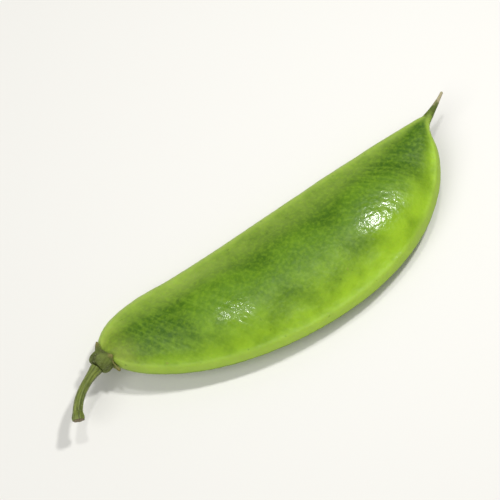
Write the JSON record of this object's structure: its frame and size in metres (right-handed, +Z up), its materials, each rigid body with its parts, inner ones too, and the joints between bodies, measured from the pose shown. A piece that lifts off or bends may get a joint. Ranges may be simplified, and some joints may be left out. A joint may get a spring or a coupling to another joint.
{
  "type": "lima bean pod",
  "caption": "Whole green lima bean pod, a flat crescent with seed bulges, a pointed beak, a small dry calyx and a short stalk, lying on its broad face.",
  "frame": {"origin": "middle of the floor area under the whole object, on the surface that it rests on", "axes": "+X runs along the pod from the stalk to the beak, +Y towards the straight suture, +Z up through the pod's thickness"},
  "size_m": [0.0984, 0.0262, 0.0086],
  "materials": {
    "pod_skin": "fresh green skin, waxy and glossy, over fine bumps",
    "calyx_tissue": "withered olive brown leaf tissue, matt",
    "stalk_tissue": "pale olive green stalk, satin, with fine ridges"
  },
  "bodies": {
    "root": {"pod": "pod_skin", "calyx": "calyx_tissue", "stalk": "stalk_tissue"}
  },
  "joints": []
}
